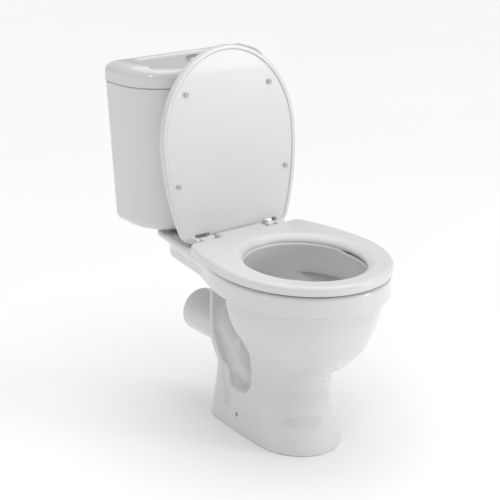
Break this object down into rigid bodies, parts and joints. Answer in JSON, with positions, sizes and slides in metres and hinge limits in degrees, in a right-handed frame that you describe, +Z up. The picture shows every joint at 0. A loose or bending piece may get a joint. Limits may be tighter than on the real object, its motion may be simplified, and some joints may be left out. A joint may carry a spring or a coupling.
{
  "type": "close coupled toilet",
  "caption": "Close coupled toilet: glazed pan with a horizontal outlet, cistern with a divided flush button, hinged seat and cover standing open.",
  "frame": {"origin": "on the floor, under the middle of the whole object's box", "axes": "+Z up, the bowl points to -Y and the wall stands at +Y"},
  "size_m": [0.368, 0.667, 0.8277],
  "materials": {
    "china": "white vitreous glaze",
    "seat_plastic": "white gloss moulding",
    "hinge_plastic": "white moulding",
    "bumper": "soft translucent white",
    "chrome": "polished plating",
    "steel": "zinc plated",
    "rubber": "matt black",
    "valve_plastic": "white moulding",
    "nut_plastic": "blue moulding"
  },
  "bodies": {
    "pan": {"pan": "china", "cistern_tank": "china", "coupling_gasket": "rubber", "coupling_bolts": "steel", "coupling_seals": "rubber", "coupling_washers": "steel", "coupling_wing_nuts": "steel", "flush_valve_body": "valve_plastic", "flush_valve_backnut": "nut_plastic", "flush_valve_seal": "rubber", "fill_valve_body": "valve_plastic", "fill_valve_backnut": "nut_plastic", "fill_valve_washer": "rubber", "float_arm_pin": "steel", "hinge_post_left": "hinge_plastic", "hinge_post_right": "hinge_plastic", "hinge_pin_left": "steel", "hinge_pin_right": "steel", "hinge_studs": "steel", "hinge_washers": "rubber", "hinge_nuts": "nut_plastic", "floor_brackets": "steel"},
    "seat": {"seat_ring": "seat_plastic", "seat_bumpers": "bumper"},
    "cover": {"cover_panel": "seat_plastic", "cover_bumpers": "bumper"},
    "lid": {"cistern_lid": "china", "button_bezel": "chrome", "bezel_locknut": "nut_plastic"},
    "full_button": {"full_flush_button": "chrome", "full_flush_rod": "valve_plastic"},
    "half_button": {"half_flush_button": "chrome", "half_flush_rod": "valve_plastic"},
    "flush_lift": {"overflow_tube": "valve_plastic", "flush_seal": "rubber"},
    "float": {"float_cup": "nut_plastic", "float_rod": "valve_plastic"},
    "arm": {"float_arm": "nut_plastic"}
  },
  "joints": [
    {"name": "seat_hinge", "type": "hinge", "parent": "pan", "child": "seat", "pos_m": [0, 0.086, 0.415], "axis": [-1, 0, 0], "range_deg": [0, 94.5]},
    {"name": "cover_hinge", "type": "hinge", "parent": "pan", "child": "cover", "pos_m": [0, 0.086, 0.415], "axis": [-1, 0, 0], "range_deg": [-94.9, 0]},
    {"name": "lid_lift", "type": "slide", "parent": "pan", "child": "lid", "axis": [0, 0, 1], "range_m": [0, 0.06]},
    {"name": "full_flush", "type": "slide", "parent": "lid", "child": "full_button", "axis": [0, 0, -1], "range_m": [0, 0.006], "stiffness_N_per_m": 500, "springref_m": -0.004},
    {"name": "half_flush", "type": "slide", "parent": "lid", "child": "half_button", "axis": [0, 0, -1], "range_m": [0, 0.006], "stiffness_N_per_m": 500, "springref_m": -0.004},
    {"name": "valve_lift", "type": "slide", "parent": "pan", "child": "flush_lift", "axis": [0, 0, 1], "range_m": [0, 0.018]},
    {"name": "float_rise", "type": "slide", "parent": "pan", "child": "float", "axis": [0, 0, 1], "range_m": [0, 0.012]},
    {"name": "float_lever", "type": "hinge", "parent": "pan", "child": "arm", "pos_m": [0.104, 0.268, 0.654], "axis": [0, 1, 0], "range_deg": [0, 18.2]}
  ],
  "couplings": [
    {"joint": "valve_lift", "follows": "full_flush", "ratio": 3},
    {"joint": "float_lever", "follows": "float_rise", "rad_per_m": 26.316}
  ]
}
